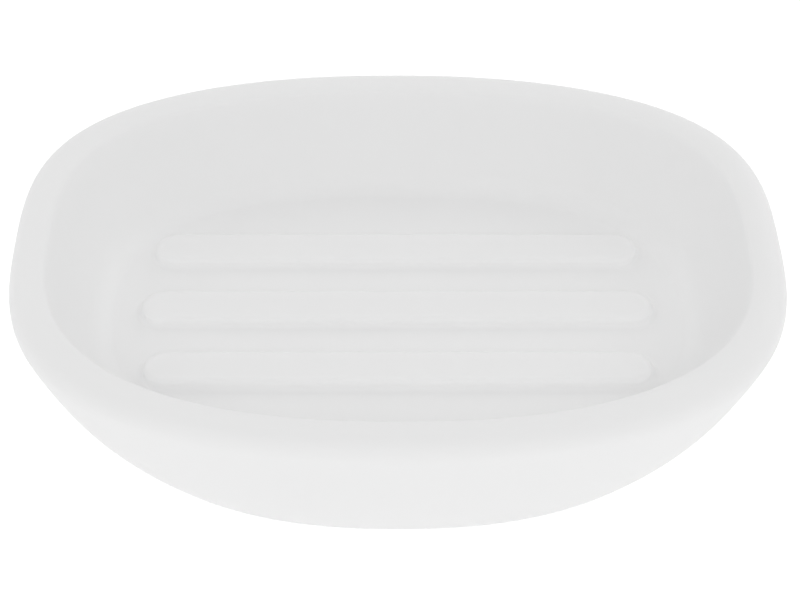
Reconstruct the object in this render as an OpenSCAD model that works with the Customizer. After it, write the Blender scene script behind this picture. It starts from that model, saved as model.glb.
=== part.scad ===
// Oval soap dish with a thick rolled rim and three raised ribs, standing on four soft bumper pads.
// Millimetres. +X runs along the dish, +Z is up, and the origin lies under its middle, level with the pads.

/* [Plan] */
// Length over the rim
dish_length = 140; // [125:1:160]
// Width over the rim
dish_width = 104; // [94:1:120]
// Power of the outline towards the ends, where higher is squarer
end_power = 2.26; // [2:0.02:3]
// Power of the outline towards the long sides, where higher is squarer
side_power = 2.96; // [2.4:0.02:3.6]

/* [Height] */
// Height of the dish itself at the middle of a long side
rim_height = 24.5; // [21:0.5:32]
// How much higher the rim is at the two ends
end_rise = 1.8; // [0:0.1:4]
// Thickness of the floor
floor_thickness = 6.4; // [5:0.1:8]

/* [Rim] */
// Width of the rim at the ends, from the outermost line to the mouth of the well
end_rim_width = 6.6; // [6:0.1:8]
// Width of the rim along the long sides
side_rim_width = 7.1; // [6:0.1:8.5]
// Width of the rim's outer roll
roll_width = 3.6; // [3:0.1:4.5]
// Drop of the rim's outer roll
roll_drop = 3.6; // [2:0.1:6]
// How far the rim's crowned top falls from its crest to the edge of the mouth
crown_drop = 0.55; // [0.2:0.05:1]
// Radius of the edge at the mouth of the well
mouth_radius = 1.4; // [0.6:0.1:1.8]

/* [Outer wall] */
// How far an end wall leans in from the rim to the base
end_lean = 10.3; // [6:0.1:14]
// How far an end wall tucks in low down, besides its lean
end_tuck = 6.4; // [3:0.1:9]
// How far a long side wall leans in
side_lean = 2.2; // [0.5:0.1:4]
// How far a long side wall tucks in low down, besides its lean
side_tuck = 1.2; // [0.5:0.1:4]

/* [Well] */
// How far an end wall of the well leans in from the mouth to the floor
well_end_draft = 8; // [4:0.1:10]
// How far a long side wall of the well leans in from the mouth to the floor
well_side_draft = 9.3; // [5:0.1:12]
// Run of the fillet between the well's walls and its floor
fillet_run = 2.6; // [2:0.1:6]
// Height of that fillet
fillet_height = 3.6; // [2.5:0.1:7]

/* [Ribs] */
// Distance between the middles of two ribs
rib_pitch = 16.4; // [13:0.1:18]
// Length of the middle rib over its toes
middle_rib_length = 98.8; // [80:0.2:101]
// Length of each outer rib over its toes
outer_rib_length = 95.8; // [78:0.2:96.2]
// Width of a rib over its toes
rib_width = 11.2; // [9.6:0.1:12]
// Height of a rib above the floor
rib_height = 2; // [1.5:0.1:3]
// Run of the rounding at a rib's top edge
rib_round = 1.3; // [0.8:0.1:2]
// Run of the fillet at a rib's toe
rib_toe = 1.4; // [0.6:0.1:1.8]

/* [Base] */
// Run of the rounding at the foot's outer edge
foot_round = 0.9; // [0.4:0.1:1.4]
// How high up the wall that rounding starts
foot_round_height = 0.8; // [0.4:0.1:1.4]
// Width of the foot from its outer edge to the shallow hollow underneath
foot_width = 16; // [15:0.5:18]
// Depth of the hollow
hollow_depth = 0.8; // [0.4:0.1:1.5]
// Run of the slope at the hollow's edge
hollow_slope = 1.2; // [0.6:0.1:2]

/* [Bumper pads] */
// Diameter of a pad
pad_diameter = 9.5; // [8:0.1:11]
// Thickness of a pad
pad_thickness = 1.8; // [1.6:0.1:2.4]
// Radius of a pad's lower edge
pad_edge = 0.6; // [0.3:0.1:0.8]
// Thickness of the adhesive disc that holds a pad
adhesive_thickness = 0.2; // [0.1:0.05:0.3]
// How much smaller across the adhesive disc is than its pad
adhesive_margin = 0.5; // [0.2:0.1:1]
// Depth of the round seat that a pad sits in
seat_depth = 1; // [0.8:0.1:1.2]
// Gap all round between a pad and its seat
seat_clearance = 0.2; // [0.1:0.05:0.4]
// How far in from the end of the foot the middle of a pad lies
pad_end_inset = 18.3; // [15:0.1:20]
// How far in from the long side of the foot the middle of a pad lies
pad_side_inset = 16.6; // [14.5:0.1:17.5]

/* [Hidden] */

// How closely the levels of the outer wall crowd together below the roll
wall_crowding = 1.3;
// How fast the tuck of an end wall and of a side wall sets in towards the base
end_tuck_power = 4.2;
side_tuck_power = 5;
// The share of the wall's height in which its lean sets in
lean_onset_share = 0.06;
// How steep the edge at the mouth is where it leaves the rim's top and where it meets the well's wall
mouth_start = 22;
mouth_end = 62;

// How many places there are round the outline, and steps down each stretch of the profile
columns = 96;
wall_steps = 13;
foot_steps = 3;
roll_steps = 8;
crown_steps = 3;
mouth_steps = 3;
draft_steps = 4;
fillet_steps = 6;
rib_steps = 4;
round_fn = 64;

half_length = dish_length / 2;
half_width = dish_width / 2;
// How far the pads hold the dish off the surface
stand = pad_thickness + adhesive_thickness - seat_depth;
wall_height = rim_height - roll_drop;
well_depth = rim_height - floor_thickness;
// The run of the edge at the mouth
mouth_run = mouth_radius * (sin(mouth_end) - sin(mouth_start));
// The height of the mouth's lower edge above the floor, where the well's wall starts
draft_height = well_depth - crown_drop - mouth_radius * (cos(mouth_start) - cos(mouth_end));
base_end_inset = end_lean + end_tuck;
base_side_inset = side_lean + side_tuck;
// The middle of the pad at the back right corner
pad_x = half_length - base_end_inset - pad_end_inset;
pad_y = half_width - base_side_inset - pad_side_inset;
seat_radius = pad_diameter / 2 + seat_clearance;
// One depth by which ribs sink in and cuts run over
overrun = rib_height / 4;
// The ribs sit this much low, so that their toes meet the floor cleanly
toe_sink = rib_height / 40;

// Evenly spaced angles from the first to the last, both included
function angles(first, last, steps) = [for (i = [0 : steps]) first + (last - first) * i / steps];

// The outline is a superellipse: the place on it in step with the angle t, for half sizes of 1
function outline_x(t) = sign(cos(t)) * pow(abs(cos(t)), 2 / end_power);
function outline_y(t) = sign(sin(t)) * pow(abs(sin(t)), 2 / side_power);

// A level of the profile: inset at the ends, inset at the sides, height, and share of the ends' rise
function ring(level) = [
    for (i = [0 : columns - 1])
        let (t = 360 * i / columns, x = outline_x(t), y = outline_y(t))
        [
            (half_length - level[0]) * x,
            (half_width - level[1]) * y,
            stand + level[2] + end_rise * level[3] * pow(x, 4)
        ]
];

// The lean of a wall sets in softly below the roll, and reaches 1 at the base
function lean_share(q) =
    let (s = lean_onset_share)
    (sqrt(q * q + s * s) - s) / (sqrt(1 + s * s) - s);

function wall_level(q) = [
    end_lean * lean_share(q) + end_tuck * pow(q, end_tuck_power),
    side_lean * lean_share(q) + side_tuck * pow(q, side_tuck_power),
    wall_height * (1 - q),
    pow(1 - q, 2)
];

// A level under the foot, a set way in from the outline of the base
function foot_level(inset, height) = [base_end_inset + inset, base_side_inset + inset, height, 0];

// The share of the ends' rise inside the crest of the rim, where it is 1, down to the floor
function rise_share(height) = pow((height - floor_thickness) / well_depth, 2);

// A level of the rim's crowned top, from its crest at 0 to the edge of the mouth at 1
function crown_level(share) =
    let (height = rim_height - crown_drop * pow(share, 2))
    [
        roll_width + (end_rim_width - mouth_run - roll_width) * share,
        roll_width + (side_rim_width - mouth_run - roll_width) * share,
        height,
        rise_share(height)
    ];

// A level of the mouth or the well, so far in from the mouth's line, and with the draft of the walls
function well_level(inset, height) =
    let (draft = max(0, 1 - (height - floor_thickness) / draft_height))
    [
        end_rim_width + inset + well_end_draft * draft,
        side_rim_width + inset + well_side_draft * draft,
        height,
        rise_share(height)
    ];

// The foot's edge is rounded off by a curve from the foot to the wall, whose lines meet in a corner
foot_start = foot_level(foot_round, 0);
foot_corner = wall_level(1);
foot_end_share = 1 - foot_round_height / wall_height;
foot_end = wall_level(foot_end_share);

base_levels = [
    foot_level(foot_width + hollow_slope, hollow_depth),
    foot_level(foot_width, 0),
];
edge_levels = [
    for (i = [0 : foot_steps])
        let (s = i / foot_steps)
        pow(1 - s, 2) * foot_start + 2 * s * (1 - s) * foot_corner + s * s * foot_end
];
wall_levels = [
    for (a = angles(90, 0, wall_steps))
        if (a < 90) wall_level(foot_end_share * pow(sin(a), wall_crowding))
];
roll_levels = [
    for (a = angles(0, 90, roll_steps))
        if (a > 0)
            let (inset = roll_width * (1 - cos(a)))
            [inset, inset, wall_height + roll_drop * sin(a), 1]
];
crown_levels = [for (i = [1 : crown_steps]) crown_level(i / crown_steps)];
mouth_levels = [
    for (a = angles(mouth_start, mouth_end, mouth_steps))
        if (a > mouth_start)
            let (fall = crown_drop + mouth_radius * (cos(mouth_start) - cos(a)))
            well_level(mouth_radius * (sin(a) - sin(mouth_end)), rim_height - fall)
];
draft_levels = [
    for (i = [1 : draft_steps])
        let (drop = (draft_height - fillet_height) * i / draft_steps)
        well_level(0, floor_thickness + draft_height - drop)
];
fillet_levels = [
    for (a = angles(0, 90, fillet_steps))
        if (a > 0)
            let (height = floor_thickness + fillet_height * (1 - sin(a)))
            well_level(fillet_run * (1 - cos(a)), height)
];
levels = concat(
    base_levels, edge_levels, wall_levels, roll_levels,
    crown_levels, mouth_levels, draft_levels, fillet_levels
);

// The whole shell, from the hollow's ceiling out over the wall and the rim and down to the floor
module shell() {
    places = [for (level = levels) each ring(level)];
    last = len(levels) - 1;
    sides = [
        for (k = [0 : last - 1], i = [0 : columns - 1])
            let (j = (i + 1) % columns)
            [k * columns + i, (k + 1) * columns + i, (k + 1) * columns + j, k * columns + j]
    ];
    ceiling = [for (i = [0 : columns - 1]) i];
    well_floor = [for (i = [columns - 1 : -1 : 0]) last * columns + i];
    polyhedron(points = places, faces = concat([ceiling], sides, [well_floor]), convexity = 6);
}

// One side of a rib's section, from the edge of its flat top out to its toe, and down into the floor
rib_side = concat(
    [
        for (a = angles(90, 0, rib_steps))
            [rib_width / 2 - rib_toe - rib_round * (1 - cos(a)), rib_height * (1 + sin(a)) / 2]
    ],
    [
        for (a = angles(0, 90, rib_steps))
            if (a > 0) [rib_width / 2 - rib_toe * cos(a), rib_height * (1 - sin(a)) / 2]
    ],
    [[rib_width / 2, -overrun]]
);

// A rib with round ends, moulded in one with the floor
module rib(length, y) {
    run = length / 2 - rib_width / 2;
    other_side = [for (i = [len(rib_side) - 1 : -1 : 0]) [-rib_side[i][0], rib_side[i][1]]];
    half = concat([[0, -overrun], [0, rib_height]], rib_side);
    translate([0, y, stand + floor_thickness - toe_sink]) {
        translate([-run, 0, 0])
            rotate([90, 0, 90]) linear_extrude(2 * run) polygon(concat(rib_side, other_side));
        for (side = [-1, 1])
            translate([side * run, 0, 0])
                rotate([0, 0, -90 * side]) rotate_extrude(angle = 180, $fn = round_fn) polygon(half);
    }
}

// Moves a pad, its adhesive or its seat to one of the four corners, named by the signs of x and y
module at_corner(side_x, side_y) {
    translate([side_x * pad_x, side_y * pad_y, 0]) children();
}

// The dish is one casting: wall, rim, well and ribs, with four round seats under its foot
module dish() {
    color("white") difference() {
        union() {
            shell();
            rib(outer_rib_length, rib_pitch);
            rib(middle_rib_length, 0);
            rib(outer_rib_length, -rib_pitch);
        }
        for (side_x = [-1, 1], side_y = [-1, 1])
            at_corner(side_x, side_y)
                translate([0, 0, stand - overrun])
                    cylinder(h = overrun + seat_depth, r = seat_radius, $fn = round_fn);
    }
}

// A soft clear pad: a short disc with a rounded lower edge
module pad(side_x, side_y) {
    radius = pad_diameter / 2;
    color("gainsboro") at_corner(side_x, side_y) rotate_extrude($fn = round_fn) polygon(concat(
        [[0, 0]],
        [for (a = angles(0, 90, rib_steps)) [radius - pad_edge * (1 - sin(a)), pad_edge * (1 - cos(a))]],
        [[radius, pad_thickness], [0, pad_thickness]]
    ));
}

// The adhesive disc between a pad and the ceiling of its seat
module adhesive(side_x, side_y) {
    color("ivory") at_corner(side_x, side_y)
        translate([0, 0, pad_thickness])
            cylinder(h = adhesive_thickness, d = pad_diameter - adhesive_margin, $fn = round_fn);
}

dish();
pad(-1, -1);  // pad_front_left
pad(1, -1);  // pad_front_right
pad(-1, 1);  // pad_back_left
pad(1, 1);  // pad_back_right
adhesive(-1, -1);  // adhesive_front_left
adhesive(1, -1);  // adhesive_front_right
adhesive(-1, 1);  // adhesive_back_left
adhesive(1, 1);  // adhesive_back_right
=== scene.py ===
import math

import bmesh
import bpy
from mathutils import Matrix, Vector


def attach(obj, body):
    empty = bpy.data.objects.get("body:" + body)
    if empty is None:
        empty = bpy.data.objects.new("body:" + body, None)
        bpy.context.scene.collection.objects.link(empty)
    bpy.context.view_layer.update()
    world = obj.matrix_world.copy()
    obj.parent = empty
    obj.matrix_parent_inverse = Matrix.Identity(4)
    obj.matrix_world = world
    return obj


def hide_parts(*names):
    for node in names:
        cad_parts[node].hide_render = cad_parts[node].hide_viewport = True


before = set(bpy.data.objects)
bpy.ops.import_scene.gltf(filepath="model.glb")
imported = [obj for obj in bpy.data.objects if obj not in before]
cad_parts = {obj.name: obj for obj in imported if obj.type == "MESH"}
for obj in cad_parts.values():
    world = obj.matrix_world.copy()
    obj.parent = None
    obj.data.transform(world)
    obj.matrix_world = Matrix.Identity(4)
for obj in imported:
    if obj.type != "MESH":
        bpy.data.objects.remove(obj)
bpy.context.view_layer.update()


# The camera: the photograph looks across the dish from well above, from about three dish lengths away.
# It is turned by one degree and tilted by less than one, as the photograph is.
MM = 0.001
azimuth = math.radians(-1.05)
elevation = math.radians(43)
tilt = math.radians(0.71)
distance = 391 * MM
lens = 94.3
sensor_width = 36
nearest_seen = 10 * MM
aim = Vector((0.43, -1.33, 11.6)) * MM

towards_camera = Vector((
    math.sin(azimuth) * math.cos(elevation),
    -math.cos(azimuth) * math.cos(elevation),
    math.sin(elevation),
))
camera = bpy.data.objects.new("camera", bpy.data.cameras.new("camera"))
bpy.context.scene.collection.objects.link(camera)
camera.data.lens = lens
camera.data.sensor_width = sensor_width
camera.data.clip_start = nearest_seen
camera.location = aim + towards_camera * distance
camera.rotation_mode = "QUATERNION"
camera.rotation_quaternion = (
    towards_camera.to_track_quat("Z", "Y") @ Matrix.Rotation(tilt, 3, "Z").to_quaternion()
)
bpy.context.scene.camera = camera


# The shell of the dish: a thick casting in satin white resin, with its wall, rolled rim and well in one
# piece. It is lofted from rings that follow the oval outline, first those of the shallow hollow underneath,
# then those from the foot out over the wall and the rim and down the well to its floor.
half_length = 70 * MM
half_width = 52 * MM
end_power = 2.26
side_power = 2.96
rim_height = 24.5 * MM
end_rise = 1.8 * MM
end_rise_power = 4
floor_height = 6.4 * MM
end_rim_width = 6.6 * MM
side_rim_width = 7.1 * MM
roll_width = 3.6 * MM
roll_drop = 3.6 * MM
crown_drop = 0.55 * MM
mouth_radius = 1.4 * MM
mouth_start = math.radians(22)
mouth_end = math.radians(62)
end_lean = 10.3 * MM
end_tuck = 6.4 * MM
end_tuck_power = 4.2
side_lean = 2.2 * MM
side_tuck = 1.2 * MM
side_tuck_power = 5
lean_onset = 0.06
wall_crowding = 1.3
well_end_draft = 8 * MM
well_side_draft = 9.3 * MM
fillet_run = 2.6 * MM
fillet_height = 3.6 * MM
stand = 1 * MM
foot_round = 0.9 * MM
foot_round_height = 0.8 * MM
foot_width = 16 * MM
hollow_depth = 0.8 * MM
hollow_slope = 1.2 * MM
flat_band = 0.1 * MM

columns = 256
hollow_steps = 10
foot_steps = 8
wall_steps = 36
roll_steps = 24
crown_steps = 8
mouth_steps = 10
draft_steps = 12
fillet_steps = 20

wall_height = rim_height - roll_drop
well_depth = rim_height - floor_height
mouth_run = mouth_radius * (math.sin(mouth_end) - math.sin(mouth_start))
draft_height = well_depth - crown_drop - mouth_radius * (math.cos(mouth_start) - math.cos(mouth_end))
base_end_inset = end_lean + end_tuck
base_side_inset = side_lean + side_tuck


def turns(steps, first=0, last=math.pi / 2):
    """Evenly spaced angles from the first to the last, both included."""
    return [first + (last - first) * i / steps for i in range(steps + 1)]


def wall_level(down):
    """A level of the outer wall, which goes from the roll at 0 down to the base at 1. Like every level it
    holds the insets at the ends and at the sides, the height and the share of the ends' rise."""
    lean = (math.hypot(down, lean_onset) - lean_onset) / (math.hypot(1, lean_onset) - lean_onset)
    return Vector((
        end_lean * lean + end_tuck * down ** end_tuck_power,
        side_lean * lean + side_tuck * down ** side_tuck_power,
        wall_height * (1 - down),
        (1 - down) ** 2,
    ))


def roll_level(angle):
    """A level of the rim's outer roll, whose section is a quarter of an ellipse."""
    inset = roll_width * (1 - math.cos(angle))
    return Vector((inset, inset, wall_height + roll_drop * math.sin(angle), 1))


def rise_share(height):
    """The share of the ends' rise inside the crest of the rim, where it is 1, down to the floor."""
    return ((height - floor_height) / well_depth) ** 2


def crown_level(share):
    """A level of the rim's crowned top, which falls away from its crest to the edge of the mouth."""
    height = rim_height - crown_drop * share ** 2
    return Vector((
        roll_width + (end_rim_width - mouth_run - roll_width) * share,
        roll_width + (side_rim_width - mouth_run - roll_width) * share,
        height,
        rise_share(height),
    ))


def well_level(inset, height):
    """A level of the mouth or the well, an inset from the mouth's line that grows with the walls' draft."""
    draft = max(0, 1 - (height - floor_height) / draft_height)
    return Vector((
        end_rim_width + inset + well_end_draft * draft,
        side_rim_width + inset + well_side_draft * draft,
        height,
        rise_share(height),
    ))


def foot_level(inset, height):
    """A level under the foot, a set way in from the outline of the base."""
    return Vector((base_end_inset + inset, base_side_inset + inset, height, 0))


foot_start = foot_level(foot_round, 0)
foot_corner = wall_level(1)
foot_end_share = 1 - foot_round_height / wall_height
foot_end = wall_level(foot_end_share)


def foot_edge_level(share):
    """A level of the foot's rounded edge, a curve from the underside at 0 that joins the wall at 1."""
    rest = 1 - share
    return rest ** 2 * foot_start + 2 * share * rest * foot_corner + share * share * foot_end


def slope_share(angle):
    """A soft step from 0 to 1 as the angle goes from 0 to half a turn."""
    return (1 - math.cos(angle)) / 2


hollow_levels = [
    foot_level(foot_width + hollow_slope + flat_band, hollow_depth),
    *[
        foot_level(foot_width + hollow_slope * slope_share(angle), hollow_depth * slope_share(angle))
        for angle in turns(hollow_steps, math.pi, 0)
    ],
    foot_level(foot_width - flat_band, 0),
]
outer_levels = [
    foot_level(foot_round + flat_band, 0),
    *[foot_edge_level(i / foot_steps) for i in range(foot_steps + 1)],
    *[
        wall_level(foot_end_share * math.sin(angle) ** wall_crowding)
        for angle in turns(wall_steps, math.pi / 2, 0)[1:]
    ],
    *[roll_level(angle) for angle in turns(roll_steps)[1:]],
    *[crown_level(i / crown_steps) for i in range(1, crown_steps + 1)],
    *[
        well_level(
            mouth_radius * (math.sin(angle) - math.sin(mouth_end)),
            rim_height - crown_drop - mouth_radius * (math.cos(mouth_start) - math.cos(angle)),
        )
        for angle in turns(mouth_steps, mouth_start, mouth_end)[1:]
    ],
    *[
        well_level(0, floor_height + draft_height - (draft_height - fillet_height) * i / draft_steps)
        for i in range(1, draft_steps + 1)
    ],
    *[
        well_level(fillet_run * (1 - math.cos(angle)), floor_height + fillet_height * (1 - math.sin(angle)))
        for angle in turns(fillet_steps)[1:]
    ],
    well_level(fillet_run + flat_band, floor_height),
]

dish_mesh = bmesh.new()
turn = dish_mesh.verts.layers.float.new("turn")


def new_ring(segments, start=Matrix()):
    """A round ring of vertices that note their own angles, and the edges that join them."""
    made = bmesh.ops.create_circle(dish_mesh, segments=segments, radius=1, matrix=start)["verts"]
    for vert in made:
        vert[turn] = math.atan2(vert.co.y, vert.co.x)
    ring = set(made)
    return made, [edge for edge in dish_mesh.edges if ring.issuperset(edge.verts)]


def extrude_ring(edges):
    """Extrudes a ring of edges of the dish and returns the new ring's vertices and edges."""
    made = bmesh.ops.extrude_edge_only(dish_mesh, edges=edges)["geom"]
    return (
        [item for item in made if isinstance(item, bmesh.types.BMVert)],
        [item for item in made if isinstance(item, bmesh.types.BMEdge)],
    )


def squared_off(value, power):
    """The cosine or sine of a place on the outline, squared off by the outline's power."""
    return math.copysign(abs(value) ** (2 / power), value)


def lay_on_outline(verts, level):
    """Moves a ring of vertices to a level of the outline."""
    end_inset, side_inset, height, rise = level
    for vert in verts:
        x = squared_off(math.cos(vert[turn]), end_power)
        y = squared_off(math.sin(vert[turn]), side_power)
        vert.co = (
            (half_length - end_inset) * x,
            (half_width - side_inset) * y,
            stand + height + end_rise * rise * x ** end_rise_power,
        )


def loft(levels):
    """Lofts a band of faces through the levels and returns its first and last ring of edges."""
    verts, edges = new_ring(columns)
    first = edges
    lay_on_outline(verts, levels[0])
    for level in levels[1:]:
        verts, edges = extrude_ring(edges)
        lay_on_outline(verts, level)
    return first, edges


hollow_ceiling, foot_inner = loft(hollow_levels)
foot_outer, floor_outer = loft(outer_levels)


# The ribs: three long mounds with round ends, cast in one with the floor, that keep the soap out of the
# water. Their tops are flat with a soft edge, their toes run out into the floor, and the middle one is
# longer.
rib_pitch = 16.4 * MM
rib_lengths = {-1: 95.8 * MM, 0: 98.8 * MM, 1: 95.8 * MM}
rib_half_width = 5.6 * MM
rib_height = 1.95 * MM
rib_round = 1.3 * MM
rib_toe = 1.4 * MM
rib_columns = 96
rib_toe_steps = 8
rib_round_steps = 10
rib_rings = [
    (rib_half_width + flat_band, 0),
    *[
        (rib_half_width - rib_toe * math.sin(angle), rib_height * (1 - math.cos(angle)) / 2)
        for angle in turns(rib_toe_steps)
    ],
    *[
        (
            rib_half_width - rib_toe - rib_round * (1 - math.cos(angle)),
            rib_height * (1 + math.sin(angle)) / 2,
        )
        for angle in turns(rib_round_steps)[1:]
    ],
    (rib_half_width - rib_toe - rib_round - flat_band, rib_height),
]


def raise_rings(centre, rings, segments, run=0):
    """Raises a round-ended boss or recess from rings of radius and height, closes its top and returns its
    first ring of edges. Its straight sides are two runs long."""
    verts, edges = new_ring(segments, Matrix.Rotation(math.pi / segments, 4, "Z"))
    first = edges
    for i, (radius, height) in enumerate(rings):
        if i:
            verts, edges = extrude_ring(edges)
        for vert in verts:
            x = math.cos(vert[turn])
            y = math.sin(vert[turn])
            vert.co = centre + Vector((math.copysign(run, x) + radius * x, radius * y, height))
    bmesh.ops.triangle_fill(dish_mesh, edges=edges, use_beauty=True, normal=(0, 0, 1))
    return first


rib_toes = []
for row, length in rib_lengths.items():
    rib_foot = Vector((0, rib_pitch * row, stand + floor_height))
    rib_toes += raise_rings(rib_foot, rib_rings, rib_columns, length / 2 - rib_half_width)
bmesh.ops.triangle_fill(dish_mesh, edges=floor_outer + rib_toes, use_beauty=True, normal=(0, 0, 1))


# The pad seats: four round recesses in the foot, 1 mm deep, with softened mouths. They take the bumper
# pads, and the foot and the hollow's ceiling close the casting round them.
seat_depth = 1 * MM
seat_radius = 4.95 * MM
seat_mouth = 0.3 * MM
seat_corner = 0.1 * MM
seat_columns = 64
seat_mouth_steps = 5
seat_rings = [
    (seat_radius + seat_mouth + flat_band, 0),
    *[
        (seat_radius + seat_mouth * (1 - math.sin(angle)), seat_mouth * (1 - math.cos(angle)))
        for angle in turns(seat_mouth_steps)
    ],
    (seat_radius, seat_depth - seat_corner),
    (seat_radius - seat_corner, seat_depth),
]
pad_x = 35 * MM
pad_y = 32 * MM
corners = {
    "front_left": Vector((-pad_x, -pad_y, 0)),
    "front_right": Vector((pad_x, -pad_y, 0)),
    "back_left": Vector((-pad_x, pad_y, 0)),
    "back_right": Vector((pad_x, pad_y, 0)),
}

foot_openings = []
for place in corners.values():
    foot_openings += raise_rings(place + Vector((0, 0, stand)), seat_rings, seat_columns)
foot_edges = foot_outer + foot_inner + foot_openings
bmesh.ops.triangle_fill(dish_mesh, edges=foot_edges, use_beauty=True, normal=(0, 0, -1))
bmesh.ops.triangle_fill(dish_mesh, edges=hollow_ceiling, use_beauty=True, normal=(0, 0, -1))
dish_mesh.verts.layers.float.remove(turn)


# The resin: a stone-filled white resin, cast and tumbled to a dull satin skin. Its white is all but even,
# its skin has a fine grain and a faint waviness, and its gloss varies slightly from place to place.
resin_whites = ((0.935, 0.935, 0.935), (0.947, 0.947, 0.947))
scatter_depth = 3 * MM
wave_height = 0.02 * MM
grain_height = 0.003 * MM
usual_noise_low = 0.3
usual_noise_high = 0.7


def new_material(name):
    """A material with its nodes, links and shader at hand."""
    material = bpy.data.materials.new(name)
    material.use_nodes = True
    nodes = material.node_tree.nodes
    return material, nodes, material.node_tree.links, nodes["Principled BSDF"]


def add_noise(nodes, links, scale, detail, low=0, high=1):
    """A noise on Object coordinates, as many features a metre as its scale, whose usual values are spread
    between the low and the high one."""
    place = nodes.new("ShaderNodeTexCoord")
    noise = nodes.new("ShaderNodeTexNoise")
    noise.inputs["Scale"].default_value = scale
    noise.inputs["Detail"].default_value = detail
    links.new(place.outputs["Object"], noise.inputs["Vector"])
    spread = nodes.new("ShaderNodeMapRange")
    spread.inputs["From Min"].default_value = usual_noise_low
    spread.inputs["From Max"].default_value = usual_noise_high
    spread.inputs["To Min"].default_value = low
    spread.inputs["To Max"].default_value = high
    links.new(noise.outputs["Fac"], spread.inputs["Value"])
    return spread.outputs["Result"]


def add_bump(nodes, links, relief, height, below=None):
    """A bump whose relief is of the given height in metres, laid over another one if there is one below."""
    bump = nodes.new("ShaderNodeBump")
    bump.inputs["Strength"].default_value = 1
    bump.inputs["Distance"].default_value = height
    links.new(relief, bump.inputs["Height"])
    if below:
        links.new(below, bump.inputs["Normal"])
    return bump.outputs["Normal"]


def blend_colours(nodes, links, share, first, second):
    """A colour that goes from the first to the second as the share goes from 0 to 1."""
    mix = nodes.new("ShaderNodeMix")
    mix.data_type = "RGBA"
    mix.inputs["A"].default_value = (*first, 1)
    mix.inputs["B"].default_value = (*second, 1)
    links.new(share, mix.inputs["Factor"])
    return mix.outputs["Result"]


def finished_piece(name, mesh, material):
    """Turns a closed bmesh into a smooth piece with its faces outwards."""
    bmesh.ops.recalc_face_normals(mesh, faces=mesh.faces)
    for face in mesh.faces:
        face.smooth = True
    data = bpy.data.meshes.new(name)
    mesh.to_mesh(data)
    mesh.free()
    data.materials.append(material)
    piece = bpy.data.objects.new(name, data)
    bpy.context.scene.collection.objects.link(piece)
    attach(piece, "root")
    return piece


resin, nodes, links, shader = new_material("satin_white_resin")
cloud = add_noise(nodes, links, scale=35, detail=3)
links.new(blend_colours(nodes, links, cloud, *resin_whites), shader.inputs["Base Color"])
gloss = add_noise(nodes, links, scale=220, detail=4, low=0.52, high=0.6)
links.new(gloss, shader.inputs["Roughness"])
shader.inputs["Subsurface Weight"].default_value = 0.35
shader.inputs["Subsurface Radius"].default_value = (1, 1, 1)
shader.inputs["Subsurface Scale"].default_value = scatter_depth
waves = add_bump(nodes, links, add_noise(nodes, links, scale=45, detail=1), wave_height)
grain = add_bump(nodes, links, add_noise(nodes, links, scale=2600, detail=3), grain_height, waves)
links.new(grain, shader.inputs["Normal"])

dish = finished_piece("dish_casting", dish_mesh, resin)
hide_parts("dish")


# The bumper pads: short discs of hazy clear elastomer with a rounded lower edge, pressed up into the seats
# under the foot. Each is turned from its half section.
pad_radius = 4.75 * MM
pad_thickness = 1.8 * MM
pad_edge = 0.6 * MM
pad_corner = 0.1 * MM
pad_columns = 64
pad_edge_steps = 6
merge_distance = 0.001 * MM
pad_dimple = 0.01 * MM
pad_greys = ((0.78, 0.79, 0.79), (0.86, 0.87, 0.87))

clear, nodes, links, shader = new_material("hazy_clear_elastomer")
haze = add_noise(nodes, links, scale=300, detail=3)
links.new(blend_colours(nodes, links, haze, *pad_greys), shader.inputs["Base Color"])
gloss = add_noise(nodes, links, scale=900, detail=2, low=0.28, high=0.42)
links.new(gloss, shader.inputs["Roughness"])
dimples = add_bump(nodes, links, add_noise(nodes, links, scale=1800, detail=2), pad_dimple)
links.new(dimples, shader.inputs["Normal"])
shader.inputs["Transmission Weight"].default_value = 0.35
shader.inputs["IOR"].default_value = 1.45

for corner, place in corners.items():
    mesh = bmesh.new()
    section = [
        (0, 0),
        *[
            (pad_radius - pad_edge * (1 - math.sin(angle)), pad_edge * (1 - math.cos(angle)))
            for angle in turns(pad_edge_steps)
        ],
        (pad_radius, pad_thickness - pad_corner),
        (pad_radius - pad_corner, pad_thickness),
        (0, pad_thickness),
    ]
    verts = [mesh.verts.new((x, 0, z)) for x, z in section]
    edges = [mesh.edges.new(pair) for pair in zip(verts, verts[1:])]
    bmesh.ops.spin(
        mesh, geom=verts + edges, axis=(0, 0, 1), cent=(0, 0, 0), angle=math.tau, steps=pad_columns,
        use_merge=True,
    )
    bmesh.ops.remove_doubles(mesh, verts=mesh.verts, dist=merge_distance)
    bmesh.ops.translate(mesh, verts=mesh.verts, vec=place)
    pad = finished_piece(f"bumper_{corner}", mesh, clear)
    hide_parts(f"pad_{corner}")


# The adhesive discs: thin clear film between each pad and the ceiling of its seat, cut round. Their CAD
# solids stay, with the film's finish: faintly yellow, glossy, with small specks of air.
film_speck = 0.01 * MM
film_yellows = ((0.84, 0.82, 0.73), (0.88, 0.86, 0.79))

film, nodes, links, shader = new_material("adhesive_film")
specks = add_noise(nodes, links, scale=1500, detail=2)
links.new(blend_colours(nodes, links, specks, *film_yellows), shader.inputs["Base Color"])
gloss = add_noise(nodes, links, scale=700, detail=2, low=0.22, high=0.4)
links.new(gloss, shader.inputs["Roughness"])
links.new(add_bump(nodes, links, specks, film_speck), shader.inputs["Normal"])
for corner in corners:
    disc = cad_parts[f"adhesive_{corner}"]
    disc.data.materials.clear()
    disc.data.materials.append(film)


# The floor: a wide sheet of matt white paper that itself glows faintly, though it is no lamp, as if a lit
# table were under it; this glow brightens the outer wall from below. It shows white to the camera and in
# reflections, and keeps the dish's soft shadow.
floor_reach = 3
paper_roughness = 0.9
paper_whites = ((0.895, 0.895, 0.895), (0.905, 0.905, 0.905))
# How strongly the paper itself glows onto the dish, though it is no lamp
floor_self_glow = 0.2
seen_glow = 0.5

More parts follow.
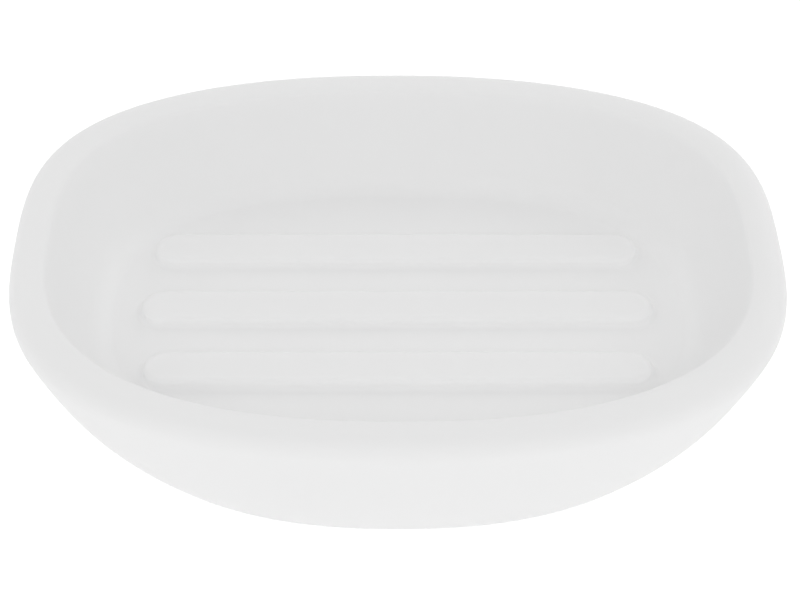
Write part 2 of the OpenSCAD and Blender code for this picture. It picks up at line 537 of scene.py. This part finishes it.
floor_mesh = bmesh.new()
bmesh.ops.create_grid(floor_mesh, x_segments=1, y_segments=1, size=floor_reach)
floor_data = bpy.data.meshes.new("floor")
floor_mesh.to_mesh(floor_data)
floor_mesh.free()
floor = bpy.data.objects.new("floor", floor_data)
bpy.context.scene.collection.objects.link(floor)


def add_seen_share(nodes, links):
    """1 for what the camera sees, also mirrored or through a clear piece, and 0 for light on a matt one."""
    path = nodes.new("ShaderNodeLightPath")
    share = path.outputs["Is Camera Ray"]
    for name in ("Is Glossy Ray", "Is Transmission Ray"):
        either = nodes.new("ShaderNodeMath")
        either.operation = "MAXIMUM"
        links.new(share, either.inputs[0])
        links.new(path.outputs[name], either.inputs[1])
        share = either.outputs[0]
    return share


def add_strength(nodes, links, unseen, seen):
    """A strength of light, one where it only lights a matt piece and another one where it is seen."""
    strength = nodes.new("ShaderNodeMapRange")
    strength.inputs["To Min"].default_value = unseen
    strength.inputs["To Max"].default_value = seen
    links.new(add_seen_share(nodes, links), strength.inputs["Value"])
    return strength.outputs["Result"]


paper, nodes, links, shader = new_material("white_paper")
shader.inputs["Roughness"].default_value = paper_roughness
fibres = add_noise(nodes, links, scale=400, detail=4)
links.new(blend_colours(nodes, links, fibres, *paper_whites), shader.inputs["Base Color"])
shader.inputs["Emission Color"].default_value = (1, 1, 1, 1)
links.new(add_strength(nodes, links, floor_self_glow, seen_glow), shader.inputs["Emission Strength"])
floor_data.materials.append(paper)


# The light: a pale room all round, which the camera sees as white, a soft box above the front, and two
# behind that lift the edge of the rim. The faint glow of the floor itself does the rest.
room_strength = 0.68
seen_room_strength = 1
box_distance = 1.2

world = bpy.data.worlds.new("room")
bpy.context.scene.world = world
world.use_nodes = True
nodes, links = world.node_tree.nodes, world.node_tree.links
background = nodes["Background"]
background.inputs["Color"].default_value = (1, 1, 1, 1)
links.new(add_strength(nodes, links, room_strength, seen_room_strength), background.inputs["Strength"])

# Each soft box: degrees round from the front to the right, degrees above the floor, its size and its watts
soft_boxes = {
    "front_box": (0, 45, 0.6, 1.65),
    "back_left_box": (225, 30, 0.5, 0.7),
    "back_right_box": (135, 30, 0.5, 1.1),
}
for name, (round_from_front, above, size, watts) in soft_boxes.items():
    direction = Vector((0, -1, 0))
    direction.rotate(Matrix.Rotation(math.radians(-above), 3, "X"))
    direction.rotate(Matrix.Rotation(math.radians(round_from_front), 3, "Z"))
    box = bpy.data.objects.new(name, bpy.data.lights.new(name, "AREA"))
    box.data.shape = "SQUARE"
    box.data.size = size
    box.data.energy = watts
    box.location = box_distance * direction
    box.rotation_mode = "QUATERNION"
    box.rotation_quaternion = direction.to_track_quat("Z", "Y")
    bpy.context.scene.collection.objects.link(box)

bpy.context.scene.view_settings.view_transform = "Standard"
